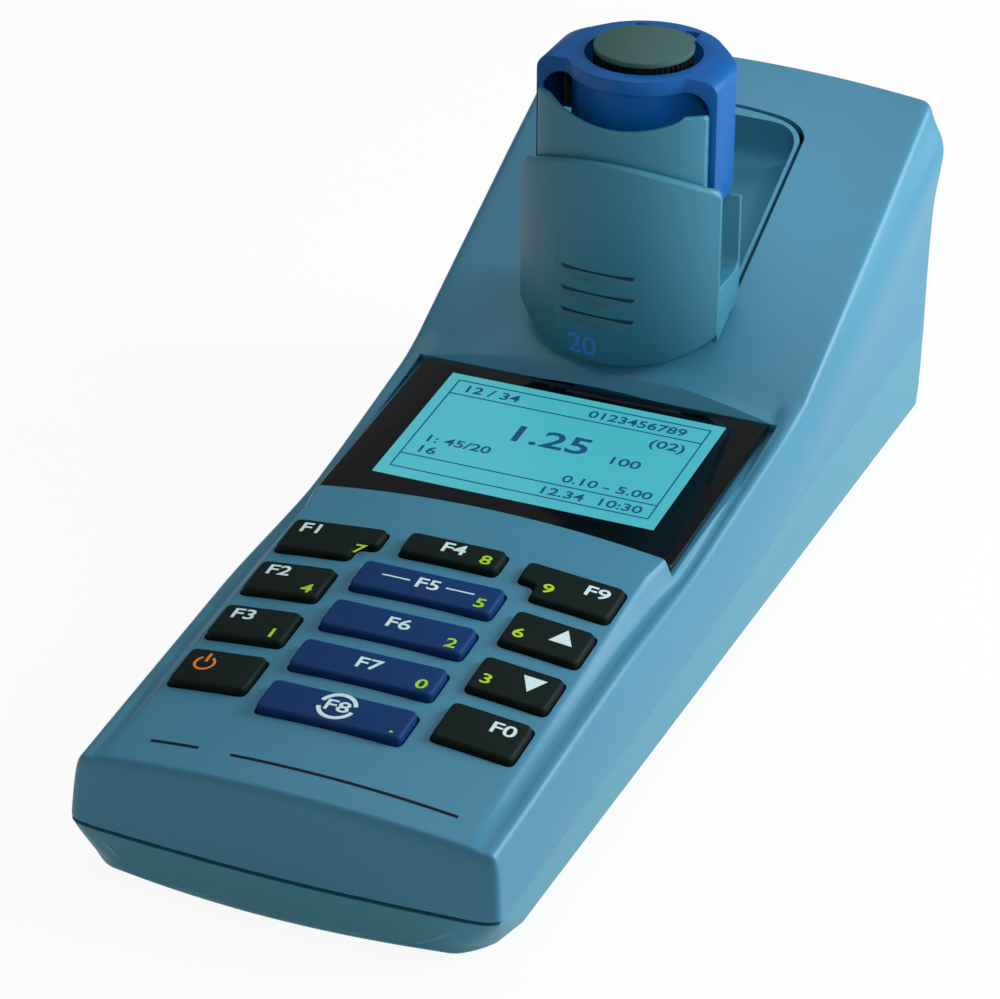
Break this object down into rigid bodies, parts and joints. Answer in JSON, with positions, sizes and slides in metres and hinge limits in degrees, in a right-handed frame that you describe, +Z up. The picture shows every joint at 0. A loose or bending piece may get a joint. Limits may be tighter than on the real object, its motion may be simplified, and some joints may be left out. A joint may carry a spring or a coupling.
{
  "type": "handheld photometer",
  "caption": "Handheld bench photometer with a sloped keypad, flat display, fold-back cell tower, sliding adapter and light-tight plug.",
  "frame": {"origin": "centre of the footprint, on the surface the feet stand on", "axes": "+X to the right seen from the front, +Y from the front edge towards the rear wall, +Z up"},
  "size_m": [0.0896, 0.229, 0.1],
  "materials": {
    "casing": "fine matt texture",
    "tower_plastic": "fine matt texture",
    "adapter_plastic": "satin",
    "navy_rubber": "satin",
    "black_rubber": "matt",
    "window": "gloss",
    "screen": "gloss",
    "optical_glass": "polished",
    "board": "satin",
    "foot_rubber": "matt",
    "plug_top": "fine grain",
    "cell_jacket": "satin",
    "black_plastic": "satin",
    "steel": "brushed"
  },
  "bodies": {
    "casing": {"top_shell": "casing", "bottom_shell": "casing", "shaft_tray": "casing", "optics_block": "black_plastic", "lamp_module": "steel", "beam_lens": "optical_glass", "filter_glass": "optical_glass", "detector": "steel", "display_window": "window", "screen_module": "screen", "main_board": "board", "key_mat": "black_rubber", "buzzer": "black_plastic", "battery_bay": "black_plastic", "battery_contacts_front": "steel", "battery_contacts_rear": "steel", "battery_cell_1": "cell_jacket", "battery_cell_2": "cell_jacket", "battery_cell_3": "cell_jacket", "battery_cell_4": "cell_jacket", "serial_socket": "steel", "power_socket": "black_plastic", "case_screw_1": "steel", "case_screw_2": "steel", "case_screw_3": "steel", "case_screw_4": "steel", "foot_front_left": "foot_rubber", "foot_rear_left": "foot_rubber", "foot_front_right": "foot_rubber", "foot_rear_right": "foot_rubber"},
    "tower": {"cover_shell": "tower_plastic", "cover_frame_left": "tower_plastic", "cover_frame_right": "tower_plastic", "fold_pin_left": "steel", "fold_pin_right": "steel"},
    "adapter": {"adapter": "adapter_plastic", "slide_panel": "tower_plastic"},
    "plug": {"plug_skirt": "black_plastic", "plug_disc": "plug_top"},
    "battery_door": {"battery_door": "casing"},
    "key_left_1": {"key_left_1": "black_rubber"},
    "key_right_1": {"key_right_1": "black_rubber"},
    "key_left_2": {"key_left_2": "black_rubber"},
    "key_right_2": {"key_right_2": "black_rubber"},
    "key_left_3": {"key_left_3": "black_rubber"},
    "key_right_3": {"key_right_3": "black_rubber"},
    "key_left_4": {"key_left_4": "black_rubber"},
    "key_right_4": {"key_right_4": "black_rubber"},
    "key_centre_1": {"key_centre_1": "black_rubber"},
    "key_centre_2": {"key_centre_2": "navy_rubber"},
    "key_centre_3": {"key_centre_3": "navy_rubber"},
    "key_centre_4": {"key_centre_4": "navy_rubber"},
    "key_centre_5": {"key_centre_5": "navy_rubber"}
  },
  "joints": [
    {"name": "tower_fold", "type": "hinge", "parent": "casing", "child": "tower", "pos_m": [0, 0.05268, 0.0528], "axis": [-1, 0, 0], "range_deg": [0, 64]},
    {"name": "adapter_slide", "type": "slide", "parent": "tower", "child": "adapter", "axis": [0, 0, -1], "range_m": [0, 0.0165]},
    {"name": "plug_lift", "type": "slide", "parent": "adapter", "child": "plug", "axis": [0, 0, 1], "range_m": [0, 0.016]},
    {"name": "battery_door_slide", "type": "slide", "parent": "casing", "child": "battery_door", "axis": [0, -1, 0], "range_m": [0, 0.014]},
    {"name": "key_left_1_press", "type": "slide", "parent": "casing", "child": "key_left_1", "axis": [0, 0.1082, -0.9941], "range_m": [0, 0.0006], "stiffness_N_per_m": 400, "springref_m": -0.001},
    {"name": "key_right_1_press", "type": "slide", "parent": "casing", "child": "key_right_1", "axis": [0, 0.1082, -0.9941], "range_m": [0, 0.0006], "stiffness_N_per_m": 400, "springref_m": -0.001},
    {"name": "key_left_2_press", "type": "slide", "parent": "casing", "child": "key_left_2", "axis": [0, 0.1082, -0.9941], "range_m": [0, 0.0006], "stiffness_N_per_m": 400, "springref_m": -0.001},
    {"name": "key_right_2_press", "type": "slide", "parent": "casing", "child": "key_right_2", "axis": [0, 0.1082, -0.9941], "range_m": [0, 0.0006], "stiffness_N_per_m": 400, "springref_m": -0.001},
    {"name": "key_left_3_press", "type": "slide", "parent": "casing", "child": "key_left_3", "axis": [0, 0.1082, -0.9941], "range_m": [0, 0.0006], "stiffness_N_per_m": 400, "springref_m": -0.001},
    {"name": "key_right_3_press", "type": "slide", "parent": "casing", "child": "key_right_3", "axis": [0, 0.1082, -0.9941], "range_m": [0, 0.0006], "stiffness_N_per_m": 400, "springref_m": -0.001},
    {"name": "key_left_4_press", "type": "slide", "parent": "casing", "child": "key_left_4", "axis": [0, 0.1082, -0.9941], "range_m": [0, 0.0006], "stiffness_N_per_m": 400, "springref_m": -0.001},
    {"name": "key_right_4_press", "type": "slide", "parent": "casing", "child": "key_right_4", "axis": [0, 0.1082, -0.9941], "range_m": [0, 0.0006], "stiffness_N_per_m": 400, "springref_m": -0.001},
    {"name": "key_centre_1_press", "type": "slide", "parent": "casing", "child": "key_centre_1", "axis": [0, 0.1082, -0.9941], "range_m": [0, 0.0006], "stiffness_N_per_m": 400, "springref_m": -0.001},
    {"name": "key_centre_2_press", "type": "slide", "parent": "casing", "child": "key_centre_2", "axis": [0, 0.1082, -0.9941], "range_m": [0, 0.0006], "stiffness_N_per_m": 400, "springref_m": -0.001},
    {"name": "key_centre_3_press", "type": "slide", "parent": "casing", "child": "key_centre_3", "axis": [0, 0.1082, -0.9941], "range_m": [0, 0.0006], "stiffness_N_per_m": 400, "springref_m": -0.001},
    {"name": "key_centre_4_press", "type": "slide", "parent": "casing", "child": "key_centre_4", "axis": [0, 0.1082, -0.9941], "range_m": [0, 0.0006], "stiffness_N_per_m": 400, "springref_m": -0.001},
    {"name": "key_centre_5_press", "type": "slide", "parent": "casing", "child": "key_centre_5", "axis": [0, 0.1082, -0.9941], "range_m": [0, 0.0006], "stiffness_N_per_m": 400, "springref_m": -0.001}
  ]
}
